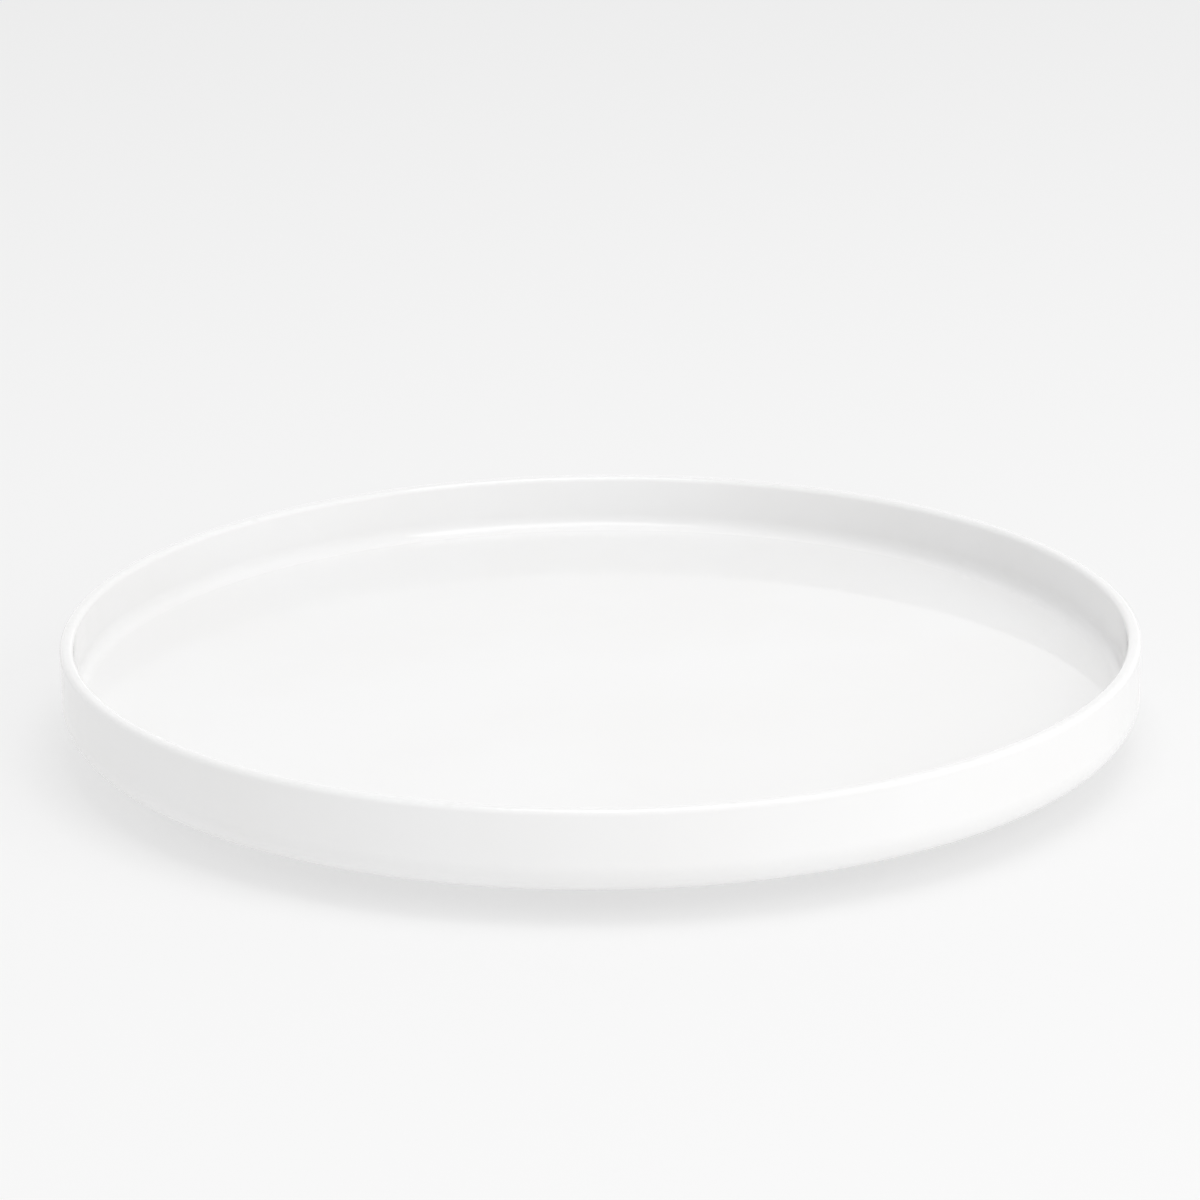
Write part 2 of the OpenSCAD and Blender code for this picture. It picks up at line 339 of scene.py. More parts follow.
# %% Set up the table and the lamps
TABLE_HALF = 6
TABLE_GREY = 0.4
TABLE_GLOW = 0.51
TABLE_GAP = 0.05 * MM


def make_table():
    """A wide, faintly glowing table top."""
    mesh = bpy.data.meshes.new("table")
    quarters = ((-1, -1), (1, -1), (1, 1), (-1, 1))
    corners = [(x * TABLE_HALF, y * TABLE_HALF, -TABLE_GAP) for x, y in quarters]
    mesh.from_pydata(corners, [], [(0, 1, 2, 3)])
    table = bpy.data.objects.new("table", mesh)
    bpy.context.scene.collection.objects.link(table)
    finish = Finish(
        "table top",
        Base_Color=grey(TABLE_GREY),
        Roughness=0.9,
        Specular_IOR_Level=0,
        Emission_Color=grey(1),
        Emission_Strength=TABLE_GLOW,
    )
    finish.put_on(table)


def make_lamp(name, azimuth, elevation, distance, size, power):
    """A large soft lamp that is aimed at the tray."""
    data = bpy.data.lights.new(name, "AREA")
    data.energy = power
    data.size = size
    lamp = bpy.data.objects.new(name, data)
    bpy.context.scene.collection.objects.link(lamp)
    lamp.location = direction(azimuth, elevation) * distance
    lamp.rotation_euler = lamp.location.to_track_quat("Z", "Y").to_euler()
    return lamp


make_table()
low_lamp = make_lamp("low lamp", azimuth=324, elevation=25, distance=2.4, size=2, power=19)
# The glossy floor would mirror it from the far side, and lose its shading there
low_lamp.visible_glossy = False
make_lamp("high lamp", azimuth=300, elevation=75, distance=1.8, size=1.2, power=10.4)
print("table and two lamps are in place")

# %% [markdown]
# ## The tray
# The real tray is one moulding: a turned shape with a few ribs under it. Modifiers could push it
# into shape, but a moulding's soft corners come out best as true arcs, so we draw its section
# once and revolve it. A close ring of points beside each arc keeps the flat faces flat when the
# mesh is shaded smoothly. The tools below serve the feet and the screws too.

# %% Tools for turned shapes
TURN_STEPS = 384
ARC_STEPS = 8
SUPPORT = 0.25 * MM
LONG_STRETCH = 5
SHARP_ANGLE = math.radians(35)


def arc(centre, radius, start, end, steps=ARC_STEPS):
    """Points of an arc in the section, from one angle to another, in degrees."""
    points = []
    for i in range(steps + 1):
        angle = math.radians(start + (end - start) * i / steps)
        points.append((centre[0] + radius * math.cos(angle), centre[1] + radius * math.sin(angle)))
    return points


def with_supports(section, support=SUPPORT):
    """Adds a close point at each end of every long stretch, and nothing on the arcs."""
    points = []
    for here, there in zip(section, section[1:]):
        points.append(here)
        length = math.dist(here, there)
        if length > LONG_STRETCH * support:
            for distance in (support, length - support):
                share = distance / length
                points.append(tuple(h + (t - h) * share for h, t in zip(here, there)))
    points.append(section[-1])
    return points


def new_object(name, shape):
    """Turns a bmesh into an object that is shaded smoothly, with sharp corners kept."""
    bmesh.ops.recalc_face_normals(shape, faces=shape.faces)
    for face in shape.faces:
        face.smooth = True
    mesh = bpy.data.meshes.new(name)
    shape.to_mesh(mesh)
    shape.free()
    mesh.set_sharp_from_angle(angle=SHARP_ANGLE)
    thing = bpy.data.objects.new(name, mesh)
    bpy.context.scene.collection.objects.link(thing)
    return thing


def turn(name, section, steps=TURN_STEPS, centre=(0, 0)):
    """Revolves a section whose ends lie on the axis, and returns a closed object."""
    shape = bmesh.new()
    rings = []
    for radius, height in section:
        count = steps if radius > 0 else 1
        ring = []
        for i in range(count):
            angle = 2 * math.pi * i / steps
            spot = (centre[0] + radius * math.cos(angle), centre[1] + radius * math.sin(angle), height)
            ring.append(shape.verts.new(spot))
        rings.append(ring)
    for low, high in zip(rings, rings[1:]):
        for i in range(steps):
            j = (i + 1) % steps
            corners = [low[i % len(low)], low[j % len(low)], high[j % len(high)], high[i % len(high)]]
            shape.faces.new(list(dict.fromkeys(corners)))
    return new_object(name, shape)


print(f"one turn has {TURN_STEPS} steps, which is {2 * math.pi * tray_radius / TURN_STEPS / MM:.1f} mm each")

# %% [markdown]
# The section starts on the axis, runs out over the floor, up the inside of the wall, over the
# rounded rim, down the outside and round the large lower corner, and comes back under the floor
# past the skirt, the seat of the race ring and the hub. It could be a list of places, but arcs
# tied to the wall, the fillet and the corner stay right when a size changes.

# %% Draw the tray's section
INNER_RADIUS = tray_radius - WALL
SKIRT_RADIUS = tray_radius - CORNER - SKIRT_WIDTH
SEAT_OUTER = race_radius + SEAT_MARGIN
SEAT_INNER = 64 * MM
HUB_RADIUS = insert_high.x + HUB_WALL


def tray_section():
    """From the axis over the floor, the wall and the skirt, and back under the floor."""
    rim = tray_high.z
    bottom = tray_low.z
    points = [(0, floor_height)]
    points += arc((INNER_RADIUS - FILLET, floor_height + FILLET), FILLET, -90, 0)
    points += arc((INNER_RADIUS + LIP, rim - LIP), LIP, 180, 90)
    points += arc((tray_radius - LIP, rim - LIP), LIP, 90, 0)
    points += arc((tray_radius - CORNER, bottom + CORNER), CORNER, 0, -90, 2 * ARC_STEPS)
    points += [(SKIRT_RADIUS, bottom)]
    points += arc((SKIRT_RADIUS - UNDER_FILLET, under_floor - UNDER_FILLET), UNDER_FILLET, 0, 90)
    points += [(SEAT_OUTER, under_floor), (SEAT_OUTER, seat_height)]
    points += [(SEAT_INNER, seat_height), (SEAT_INNER, under_floor)]
    points += [(HUB_RADIUS, under_floor), (HUB_RADIUS, insert_low.z)]
    points += [(insert_high.x, insert_low.z), (insert_high.x, insert_high.z), (0, insert_high.z)]
    return with_supports(points)


tray = turn("tray_moulding", tray_section())
print("tray:", len(tray.data.vertices), "points before its ribs")

# %% [markdown]
# Ribs stiffen the thin floor, as in most large flat mouldings. They repeat round the axis, so one
# rib is placed in a loop. Their edges are rounded, as they are in the mould, and their ends are
# buried in what they join, so that no faces coincide.

# %% Shape the ribs
RIB_COUNT = 12
RIB_EDGE = 0.35 * MM
RIB_EDGE_STEPS = 3
BURIED = 1 * MM


def place_round(count, turn_by=0.0):
    """Rotations that repeat a shape evenly round the axis."""
    return [Matrix.Rotation(2 * math.pi * (i + turn_by) / count, 4, "Z") for i in range(count)]


def make_ribs(count, inner, outer, low, high):
    """Radial ribs with rounded edges, as one object."""
    shape = bmesh.new()
    size = Matrix.Diagonal((outer - inner, RIB, high - low, 1))
    middle = Matrix.Translation(((outer + inner) / 2, 0, (low + high) / 2))
    for rotation in place_round(count):
        bmesh.ops.create_cube(shape, size=1, matrix=rotation @ middle @ size)
    bmesh.ops.bevel(
        shape,
        geom=shape.edges[:],
        offset=RIB_EDGE,
        segments=RIB_EDGE_STEPS,
        profile=0.5,
        affect="EDGES",
    )
    return new_object("ribs", shape)


long_ribs = make_ribs(
    RIB_COUNT, SEAT_OUTER - BURIED, SKIRT_RADIUS + BURIED, under_floor - RIB_DEPTH, under_floor + BURIED
)
short_ribs = make_ribs(
    RIB_COUNT // 2, HUB_RADIUS - BURIED, SEAT_INNER + BURIED, seat_height, under_floor + BURIED
)
print("ribs:", RIB_COUNT, "outside the race ring and", RIB_COUNT // 2, "inside it")

# %% [markdown]
# Six holes take the screws of the upper race ring. A modifier could stay on the tray, but a
# boolean that is applied at once gives a plain mesh, which is quicker to render and to hand on.

# %% Join the ribs and cut the screw holes
SCREW_COUNT = 6
SCREW_CIRCLE = 70 * MM
SCREW_RADIUS = 1.3 * MM
DRILL_STEPS = 32


def make_drills():
    """Round cutters for the screw holes."""
    shape = bmesh.new()
    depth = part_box("upper_race_screws")[1].z - seat_height
    middle = Matrix.Translation((SCREW_CIRCLE, 0, seat_height + (depth - BURIED) / 2))
    for rotation in place_round(SCREW_COUNT, 0.5):
        bmesh.ops.create_cone(
            shape,
            cap_ends=True,
            segments=DRILL_STEPS,
            radius1=SCREW_RADIUS,
            radius2=SCREW_RADIUS,
            depth=depth + BURIED,
            matrix=rotation @ middle,
        )
    return new_object("drills", shape)


def combine(thing, tool, operation):
    """Applies one exact boolean, keeps sharp corners sharp and removes the tool."""
    boolean = thing.modifiers.new("combine", "BOOLEAN")
    boolean.operation = operation
    boolean.solver = "EXACT"
    boolean.object = tool
    graph = bpy.context.evaluated_depsgraph_get()
    mesh = bpy.data.meshes.new_from_object(thing.evaluated_get(graph))
    mesh.set_sharp_from_angle(angle=SHARP_ANGLE)
    thing.modifiers.clear()
    thing.data = mesh
    bpy.data.objects.remove(tool)


combine(tray, long_ribs, "UNION")
combine(tray, short_ribs, "UNION")
combine(tray, make_drills(), "DIFFERENCE")
print("tray:", len(tray.data.vertices), "points with its ribs and holes")

# %% [markdown]
# The working model keeps its own plain tray for collision. The moulding takes its place in every
# picture, and rides on the same body, so that it turns with it.

# %% Put it in place of the plain one
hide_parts("tray")
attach(tray, "tray")
print("the moulding stands for the plain tray and turns with it")

# %% [markdown]
# ## Finish of the tray
# The tray is moulded in a hard glossy white plastic with a polished mould. Such a surface isn't
# perfect: the melt shrinks a little unevenly, which leaves long shallow waves that bend the
# reflections, and wiping it clean leaves hair-fine scratches that mostly run round the axis. The
# rim and the lower edge, which hands and cupboards touch, are a little duller. All of this is
# faint, so the colour stays within a few hundredths and the work is done by roughness and
# relief.

# %% Gloss white
def gloss_white():
    """Polished white plastic with shallow waves, wiping scratches and handled edges."""
    finish = Finish("gloss white moulding", IOR=1.5)
    cloud = finish.ramp(finish.noise(70 * MM, detail=3), 0.3, 0.7)
    wiped = finish.ramp(finish.swirl(0.4 * MM, arcs=5, detail=2), 0.64, 0.69)
    scratched = wiped * finish.ramp(finish.noise(28 * MM), 0.48, 0.7)
    rim = finish.ramp(finish.height, tray_high.z - 1.2 * MM, tray_high.z - 0.2 * MM)
    lower = finish.ramp(finish.height, tray_low.z + 3 * MM, tray_low.z + 0.5 * MM)
    outside = finish.ramp(finish.radius, SKIRT_RADIUS, SKIRT_RADIUS + 2 * MM)
    rubbed = finish.ramp(finish.noise(2.5 * MM, detail=4), 0.45, 0.75)
    worn = rubbed * (rim + lower * outside)
    colour = finish.blend(cloud, grey(0.885), grey(0.87, 0.008))
    finish.feed("Base Color", finish.blend(worn * 0.35, colour, grey(0.81, 0.01)))
    smudge = finish.ramp(finish.noise(19 * MM, detail=3), 0.5, 0.8)
    finish.feed("Roughness", 0.045 + smudge * 0.03 + scratched * 0.08 + worn * 0.12)
    waves = finish.noise(11 * MM) * 14e-6
    finish.relief(waves - scratched * 0.5e-6 - worn * finish.noise(0.5 * MM) * 3e-6)
    return finish


gloss_white().put_on(tray)
print("tray finished in gloss white")

# %% [markdown]
# ## Feet
# Six soft feet keep the base from sliding. Each is a small turned pad whose underside has two
# shallow grooves, which let it grip a wet worktop. They are turned with the same tool as the
# tray, one for each foot of the working model, and stand where its feet stand.

# %% Turn the feet
FOOT_STEPS = 96
FOOT_EDGE = 0.6 * MM
GROOVE_DEPTH = 0.35 * MM
GROOVE_WIDTH = 0.8 * MM
GROOVE_CIRCLES = (2.4 * MM, 4.6 * MM)


def foot_section(radius, top):
    """From the axis along the grooved underside, and up round the edge."""
    points = [(0, 0)]
    for circle in GROOVE_CIRCLES:
        start, end = circle - GROOVE_WIDTH / 2, circle + GROOVE_WIDTH / 2
        points.append((start, 0))
        points += [(start + GROOVE_DEPTH / 2, GROOVE_DEPTH), (end - GROOVE_DEPTH / 2, GROOVE_DEPTH)]
        points.append((end, 0))
    points += arc((radius - FOOT_EDGE, FOOT_EDGE), FOOT_EDGE, -90, 0)
    points += [(radius, top), (0, top)]
    return with_supports(points, SUPPORT / 4)


def make_foot(name):
    """Turns a foot at the place of the working model's foot of that name."""
    low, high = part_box(name)
    middle = (low + high) / 2
    section = foot_section((high.x - low.x) / 2, high.z)
    foot = turn(name + "_pad", section, FOOT_STEPS, (middle.x, middle.y))
    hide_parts(name)
    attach(foot, "base")
    return foot


pads = [make_foot(name) for name in feet]
print("feet:", len(pads), "of", len(pads[0].data.vertices), "points each")

# %% [markdown]
# The feet are a soft grey rubber-like plastic. It is matt, it picks up pale dust where it
# touches the table, and its surface is a fine leathery grain from the mould.

# %% Soft grey grip
# How deep light soaks into a soft or milky plastic
GLOW_DEPTH = 0.4 * MM


def soft_grip():
    """Matt, soft grey with grain, and with dust towards the table."""
    finish = Finish("soft grey grip", IOR=1.48, Subsurface_Weight=0.1, Subsurface_Scale=GLOW_DEPTH)
    patch = finish.ramp(finish.noise(4 * MM, detail=3), 0.35, 0.7)
    dust = finish.ramp(finish.height, 0.9 * MM, 0.1 * MM) * finish.ramp(finish.noise(0.7 * MM), 0.4, 0.65)
    colour = finish.blend(patch, grey(0.5, 0.03), grey(0.56, 0.02))
    finish.feed("Base Color", finish.blend(dust * 0.6, colour, grey(0.7, 0.06)))
    finish.feed("Roughness", 0.58 + patch * 0.08 + dust * 0.2)
    finish.relief(finish.noise(0.25 * MM, detail=3) * 12e-6 + dust * 6e-6)
    return finish


soft_grip().put_on(*pads)
print("feet finished in soft grey")

# %% [markdown]
# ## Base
# The base is the same white plastic in a cheaper finish, because nobody looks at it: a mould
# with a fine spark-eroded texture gives it a satin surface. Its lip and its lower edge are
# rubbed smooth, and a thin film of bearing grease has crept out round the lower race ring.

# %% Satin white
base_low, base_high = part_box("base")


def satin_white():
    """Finely textured white plastic, rubbed at its edges and greasy round the bearing."""
    finish = Finish("satin white moulding", IOR=1.5)
    texture = finish.noise(0.35 * MM, detail=3)
    patch = finish.ramp(finish.noise(30 * MM, detail=3), 0.3, 0.7)
    lip = finish.ramp(finish.height, base_high.z - 0.8 * MM, base_high.z - 0.1 * MM)
    low_edge = finish.ramp(finish.height, base_low.z + 1.2 * MM, base_low.z + 0.2 * MM)
    outside = finish.ramp(finish.radius, base_high.x - 2 * MM, base_high.x - 1 * MM)
    rubbed = finish.ramp(finish.noise(3 * MM, detail=3), 0.35, 0.65) * (lip + low_edge * outside)
    beside_race = finish.ramp(abs(finish.radius - race_radius), 5 * MM, 0.5 * MM)
    inside = finish.ramp(finish.height, base_low.z + 1 * MM, base_low.z + 2.8 * MM)
    grease = beside_race * inside * finish.ramp(finish.noise(7 * MM, detail=4), 0.35, 0.6)
    colour = finish.blend(patch, grey(0.8, 0.01), grey(0.78, 0.025))
    colour = finish.blend(rubbed * 0.5, colour, grey(0.83))
    finish.feed("Base Color", finish.blend(grease * 0.35, colour, (0.64, 0.6, 0.52, 1)))
    finish.feed("Roughness", 0.42 + patch * 0.06 - rubbed * 0.18 - grease * 0.26)
    finish.relief(texture * (1 - rubbed * 0.7) * (1 - grease * 0.9) * 9e-6)
    return finish


satin_white().put_on(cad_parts["base"])
print("base finished in satin white")

# %% [markdown]
# ## Race rings
# The balls run between two steel rings. They are turned on a lathe, which leaves very fine
# grooves round the axis, and the edges are broken; where they would catch the light, a painted
# highlight makes them lighter. The balls have burnished a bright smooth track in each ring, with a
# faint straw stain of old oil beside it.

# %% Turned steel
RACE_INNER = 66 * MM
RACE_MIDDLE = (RACE_INNER + race_radius) / 2
RACE_HALF = (race_radius - RACE_INNER) / 2


def turned_steel():
    """Steel with lathe grooves, a burnished ball track, a painted highlight on the edges and oil stains."""
    finish = Finish("turned steel", Metallic=1)
    grooves = finish.swirl(0.09 * MM, arcs=2, detail=2)
    track = finish.ramp(abs(finish.radius - pitch_radius), 2.6 * MM, 1.4 * MM)
    # A band along each broken edge, where a painted highlight goes
    painted_edge_highlight = finish.ramp(abs(finish.radius - RACE_MIDDLE), RACE_HALF - 0.5 * MM, RACE_HALF - 0.1 * MM)
    oil = finish.ramp(finish.noise(9 * MM, detail=4), 0.48, 0.72) * (1 - track)
    steel = finish.blend(grooves, (0.5, 0.51, 0.53, 1), (0.66, 0.665, 0.68, 1))
    steel = finish.blend(oil * 0.55, steel, (0.56, 0.47, 0.33, 1))
    # The broken edges get a painted highlight here; the track is lighter from real burnishing
    finish.feed("Base Color", finish.blend(painted_edge_highlight * 0.7 + track * 0.6, steel, (0.76, 0.765, 0.775, 1)))
    finish.feed("Roughness", 0.26 + grooves * 0.12 + oil * 0.12 - track * 0.17 - painted_edge_highlight * 0.08)
    finish.relief(grooves * (1 - track * 0.9) * 3e-6)
    return finish


turned_steel().put_on(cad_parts["upper_race"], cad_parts["lower_race"])
print("race rings finished in turned steel")

# %% [markdown]
# ## Balls
# Bearing balls are the smoothest thing in the turntable: hardened chrome steel, lapped to a
# mirror. What shows that they have been used is a web of hair-fine scratches and a smear of
# grease. The scratches are drawn where a soft noise crosses its middle value, which gives long
# thin curves.

# %% Lapped steel
def lapped_steel():
    """Mirror-bright steel with hair scratches and smears."""
    finish = Finish("lapped steel", Metallic=1)
    hair = finish.ramp(abs(finish.noise(2.2 * MM, detail=1) - 0.5), 0.012, 0.002)
    cross_hair = finish.ramp(abs(finish.noise(1.3 * MM, detail=2) - 0.46), 0.01, 0.002)
    smear = finish.ramp(finish.noise(3.5 * MM, detail=3), 0.5, 0.7)
    steel = finish.blend(smear, (0.79, 0.795, 0.8, 1), (0.7, 0.69, 0.66, 1))
    scratches = hair + cross_hair * 0.6
    finish.feed("Base Color", finish.blend(scratches * 0.25, steel, (0.6, 0.6, 0.61, 1)))
    finish.feed("Roughness", 0.05 + smear * 0.14 + scratches * 0.08)
    finish.relief(scratches * -0.5e-6)
    return finish


lapped_steel().put_on(*[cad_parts[name] for name in balls])
print("balls finished in lapped steel")

# %% [markdown]
# ## Cage and bush
# Both are natural acetal, a slippery plastic the colour of milk. In the cage the melt flows both
# ways round each ball's pocket and meets half way between two pockets, where it leaves a faint
# knit line. The rim of each pocket is polished by its ball. The two pieces share a milky ground,
# so that is mixed first, as a kind of finish of its own.

# %% Mix natural acetal
class Acetal(Finish):
    """Milky plastic with a slight mottle. Whoever mixes it adds what else shows, and feeds it."""

    def __init__(self, name, roughness):
        super().__init__(name, IOR=1.48, Subsurface_Weight=0.15, Subsurface_Scale=GLOW_DEPTH)
        self.mottle = self.ramp(self.noise(6 * MM, detail=3), 0.3, 0.7)
        self.milk = self.blend(self.mottle, (0.8, 0.78, 0.72, 1), (0.75, 0.72, 0.64, 1))
        self.dullness = roughness + self.mottle * 0.08
        self.grain = self.noise(0.3 * MM, detail=2) * 5e-6


print("natural acetal is ready")

# %% [markdown]
# To find the pockets, the angle round the axis is counted in pockets, and the fraction of that
# count says how far away the nearest one is. The places of the balls could be listed instead,
# but counting needs one number and holds for any count of balls.

# %% Finish the cage
ball_radius = (ball_high.z - ball_low.z) / 2


def cage_acetal():
    """Acetal with a knit line between each two pockets, and pockets with polished rims."""
    finish = Acetal("natural acetal cage", roughness=0.4)
    along = finish.add("ShaderNodeSeparateXYZ", sockets={0: finish.place}, output="X")
    across = finish.add("ShaderNodeSeparateXYZ", sockets={0: finish.place}, output="Y")
    angle = finish.add("ShaderNodeMath", {"operation": "ARCTAN2"}, {0: across, 1: along})
    step = 2 * math.pi / len(balls)
    counted = finish.add("ShaderNodeMath", {"operation": "FRACT"}, {0: angle / step + 0.5})
    aside = abs(counted - 0.5)
    sideways = aside * step * finish.radius
    outwards = finish.radius - pitch_radius
    squares = sideways * sideways + outwards * outwards
    away = finish.add("ShaderNodeMath", {"operation": "SQRT"}, {0: squares})
    polished = finish.ramp(away, ball_radius + 1.1 * MM, ball_radius + 0.3 * MM)
    knit = finish.ramp(aside, 0.485, 0.498)
    colour = finish.blend(knit * 0.4, finish.milk, (0.66, 0.62, 0.53, 1))
    finish.feed("Base Color", finish.blend(polished * 0.3, colour, (0.83, 0.81, 0.76, 1)))
    finish.feed("Roughness", finish.dullness - polished * 0.2)
    finish.relief(finish.grain * (1 - polished) - knit * 6e-6)
    return finish


cage_acetal().put_on(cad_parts["ball_cage"])
print("cage finished with", len(balls), "polished pockets")

# %% [markdown]
# The bush guides the shoulder of the pivot screw. Grease has darkened it round its bore, and it
# was turned, so it has fine rings.

# %% Finish the bush
def bush_acetal():
    """Acetal that is shiny with grease near the shoulder it guides."""
    finish = Acetal("natural acetal bush", roughness=0.36)
    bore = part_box("pivot_screw")[1].x / 2
    greasy = finish.ramp(finish.radius, bore + 1.6 * MM, bore + 0.2 * MM)
    finish.feed("Base Color", finish.blend(greasy * 0.4, finish.milk, (0.6, 0.53, 0.4, 1)))
    finish.feed("Roughness", finish.dullness - greasy * 0.2)
    finish.relief(finish.grain + finish.swirl(0.15 * MM, arcs=2) * 3e-6)
    return finish


bush_acetal().put_on(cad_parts["pivot_bush"])
print("bush finished in natural acetal")

# %% [markdown]
# ## Screws
# Each race ring is held by six small countersunk screws with a cross recess, and the tray by one
# shoulder screw with a hexagonal socket. A screw is a turned shape too, apart from its thread
# and its recess. The thread could be swept along a helix, but it is simpler to move the points
# of the turned mesh in by where they lie on one: a full turn round the screw is worth one pitch
# along it. Screws are made a hair smaller than their seats, so that no surfaces coincide.

# %% Tools for threads
SEAT_GAP = 0.02 * MM
POINTS_PER_TURN = 8


def thread_points(radius, start, end, pitch):
    """Evenly spaced points down a shank, enough of them to show its thread."""
    count = round(abs(end - start) / pitch * POINTS_PER_TURN)
    return [(radius, start + (end - start) * i / count) for i in range(count + 1)]


def cut_thread(screw, start, end, pitch, depth):
    """Moves the points between two heights, with the end rings, in along a helix."""
    low, high = min(start, end) - SEAT_GAP, max(start, end) + SEAT_GAP
    for vertex in screw.data.vertices:
        if low < vertex.co.z < high:
            around = math.atan2(vertex.co.y, vertex.co.x) / (2 * math.pi)
            share = (vertex.co.z / pitch - around) % 1
            inwards = Vector((vertex.co.x, vertex.co.y, 0)).normalized()
            vertex.co -= inwards * depth * abs(2 * share - 1)


print("threads will have", POINTS_PER_TURN, "points a turn")

# %% [markdown]
# The race screws are all alike, so one is made as a pattern. Its cross recess is cut by two
# blades, one after the other, because a cutter that crosses itself confuses the boolean.

# %% Make one countersunk screw
SCREW_STEPS = 48
HEAD_CHAMFER = 0.1 * MM
HEAD_EDGE_HEIGHT = 0.06 * MM
PLAIN_NECK = 0.3 * MM
POINT_CHAMFER = 0.4 * MM
RACE_SCREW = {"length": 4.4 * MM, "head": 2.5 * MM, "pitch": 0.7 * MM, "depth": 0.25 * MM}
RECESS = {"length": 2.7 * MM, "width": 0.55 * MM, "depth": 1.1 * MM, "narrows_to": 0.35}


def make_blade(rotation):
    """A blade that narrows downwards, for one slot of the cross recess."""
    shape = bmesh.new()
    for vertex in bmesh.ops.create_cube(shape, size=1)["verts"]:
        narrow = 1 if vertex.co.z > 0 else RECESS["narrows_to"]
        x = vertex.co.x * RECESS["length"] * narrow
        z = math.copysign(RECESS["depth"], vertex.co.z)
        vertex.co = rotation @ Vector((x, vertex.co.y * RECESS["width"], z))
    return new_object("blade", shape)


def make_race_screw():
    """A countersunk screw that points down from z = 0."""
    length, head = RACE_SCREW["length"], RACE_SCREW["head"] - SEAT_GAP
    pitch, depth = RACE_SCREW["pitch"], RACE_SCREW["depth"]
    shank = SCREW_RADIUS - SEAT_GAP
    neck = SCREW_RADIUS - RACE_SCREW["head"]
    start = neck - PLAIN_NECK
    end = -length + POINT_CHAMFER
    section = [(0, 0), (head - HEAD_CHAMFER, 0), (head, -HEAD_EDGE_HEIGHT), (shank, neck)]
    section += thread_points(shank, start, end, pitch)
    section += [(shank - POINT_CHAMFER, -length), (0, -length)]
    screw = turn("race_screw", section, SCREW_STEPS)
    cut_thread(screw, start, end, pitch, depth)
    for rotation in place_round(4)[:2]:
        combine(screw, make_blade(rotation), "DIFFERENCE")
    return screw


pattern = make_race_screw()
print("race screw:", len(pattern.data.vertices), "points")

# %% [markdown]
# The six screws of one ring are one piece in the working model, so they are joined into one
# object here too. No two screws stop at the same angle when they are tight, so every next copy
# is turned a little further.

# %% Set the screws in their holes
STOP_TURN = 2.4


def set_screws(name, body, top, points_up):
    """Copies the pattern into the six holes of one race ring."""
    flip = Matrix.Identity(4) if points_up else Matrix.Rotation(math.pi, 4, "X")
    shape = bmesh.new()
    for i, rotation in enumerate(place_round(SCREW_COUNT, 0.5)):
        drawn = bmesh.new()
        drawn.from_mesh(pattern.data)
        tightened = Matrix.Rotation(STOP_TURN * i, 4, "Z")
        place = rotation @ Matrix.Translation((SCREW_CIRCLE, 0, top)) @ flip @ tightened
        drawn.transform(place)
        mesh = bpy.data.meshes.new("drawn")
        drawn.to_mesh(mesh)
        drawn.free()
        shape.from_mesh(mesh)
        bpy.data.meshes.remove(mesh)
    screws = new_object(name + "_threaded", shape)
    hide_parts(name)
    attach(screws, body)
    return screws


lower_screws = set_screws("lower_race_screws", "base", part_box("lower_race_screws")[1].z, True)
upper_screws = set_screws("upper_race_screws", "tray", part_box("upper_race_screws")[0].z, False)
bpy.data.objects.remove(pattern)
print("race screws set:", 2 * SCREW_COUNT)

# %% [markdown]
# The shoulder screw holds the tray down. Its wide head turns under a washer inside the base, its
# smooth shoulder runs in the bush, and its thread is screwed into the brass insert of the tray.

# %% Make the shoulder screw
PIVOT_PITCH = 0.7 * MM
PIVOT_DEPTH = 0.35 * MM
PIVOT_THREAD = 2 * MM
PIVOT_SHOULDER = 3 * MM
SOCKET = {"radius": 2.3 * MM, "depth": 1.32 * MM}
HEAD_EDGE = 0.35 * MM
SHOULDER_EDGE = 0.2 * MM


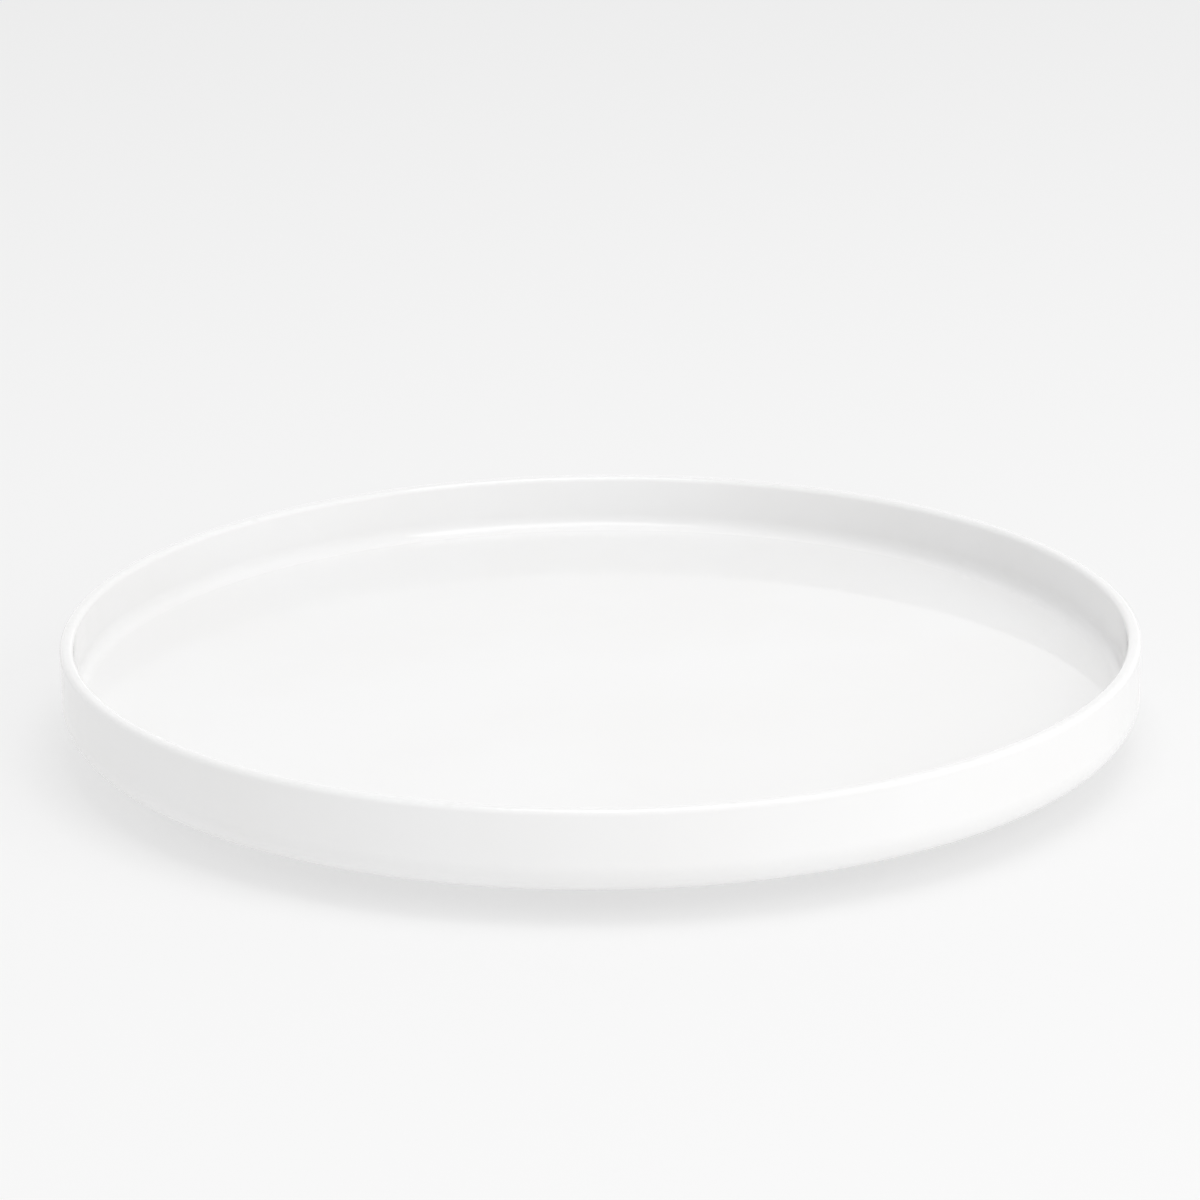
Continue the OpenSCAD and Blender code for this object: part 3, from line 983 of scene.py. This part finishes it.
def make_shoulder_screw():
    """Turned from the head upwards, with a thread at the top and a hexagonal socket below."""
    low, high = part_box("pivot_screw")
    head_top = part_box("pivot_washer")[0].z
    head = high.x
    start = insert_low.z + PLAIN_NECK
    end = high.z - POINT_CHAMFER
    thread = PIVOT_THREAD - SEAT_GAP
    shoulder = PIVOT_SHOULDER - SEAT_GAP
    section = [(0, low.z), (head - HEAD_EDGE, low.z), (head, low.z + HEAD_EDGE)]
    section += [(head, head_top - HEAD_EDGE), (head - HEAD_EDGE, head_top - SEAT_GAP)]
    section += [(shoulder, head_top - SEAT_GAP), (shoulder, insert_low.z - SHOULDER_EDGE)]
    section += [(shoulder - SHOULDER_EDGE, insert_low.z - SEAT_GAP)]
    section += [(thread, insert_low.z - SEAT_GAP)]
    section += thread_points(thread, start, end, PIVOT_PITCH)
    section += [(thread - POINT_CHAMFER, high.z), (0, high.z)]
    screw = turn("shoulder_screw", section, 2 * SCREW_STEPS)
    cut_thread(screw, start, end, PIVOT_PITCH, PIVOT_DEPTH)
    shape = bmesh.new()
    place = Matrix.Translation((0, 0, low.z))
    bmesh.ops.create_cone(
        shape,
        cap_ends=True,
        segments=6,
        radius1=SOCKET["radius"],
        radius2=SOCKET["radius"],
        depth=2 * SOCKET["depth"],
        matrix=place,
    )
    combine(screw, new_object("key", shape), "DIFFERENCE")
    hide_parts("pivot_screw")
    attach(screw, "tray")
    return screw


shoulder_screw = make_shoulder_screw()
print("shoulder screw:", len(shoulder_screw.data.vertices), "points")

# %% [markdown]
# ## Finish of the screws, the washer and the insert
# The screws and the washer are plated with zinc, a thin bright coat with patches that look
# bluish or yellowish. The coat is worn through to darker steel in places. A picture could give
# that, but two noises of different sizes do it at any closeness.

# %% Zinc plate
def zinc_plate():
    """Bright zinc with coloured patches and worn spots."""
    finish = Finish("zinc plate", Metallic=1)
    patch = finish.ramp(finish.noise(2.6 * MM, detail=2), 0.35, 0.65)
    worn = finish.ramp(finish.noise(1.1 * MM, detail=4), 0.58, 0.68)
    zinc = finish.blend(patch, (0.6, 0.64, 0.7, 1), (0.68, 0.66, 0.56, 1))
    finish.feed("Base Color", finish.blend(worn * 0.7, zinc, (0.36, 0.35, 0.34, 1)))
    finish.feed("Roughness", 0.27 + patch * 0.07 + worn * 0.2)
    finish.relief(finish.noise(0.12 * MM, detail=2) * 1.5e-6 - worn * 2e-6)
    return finish


zinc_plate().put_on(lower_screws, upper_screws, shoulder_screw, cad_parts["pivot_washer"])
print("screws and washer finished in zinc")

# %% [markdown]
# The insert is turned brass, which dulls to brown where it has been touched. It was cut on a
# lathe like the race rings, so it has the same kind of grooves.

# %% Turned brass
def turned_brass():
    """Brass with lathe grooves and brown tarnish."""
    finish = Finish("turned brass", Metallic=1)
    tarnish = finish.ramp(finish.noise(1.8 * MM, detail=4), 0.45, 0.68)
    grooves = finish.swirl(0.1 * MM, arcs=2, detail=2)
    brass = finish.blend(grooves, (0.72, 0.52, 0.24, 1), (0.86, 0.68, 0.38, 1))
    finish.feed("Base Color", finish.blend(tarnish * 0.75, brass, (0.3, 0.19, 0.09, 1)))
    finish.feed("Roughness", 0.22 + grooves * 0.08 + tarnish * 0.22)
    finish.relief(grooves * 2.5e-6)
    return finish


turned_brass().put_on(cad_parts["pivot_insert"])
print("insert finished in brass")
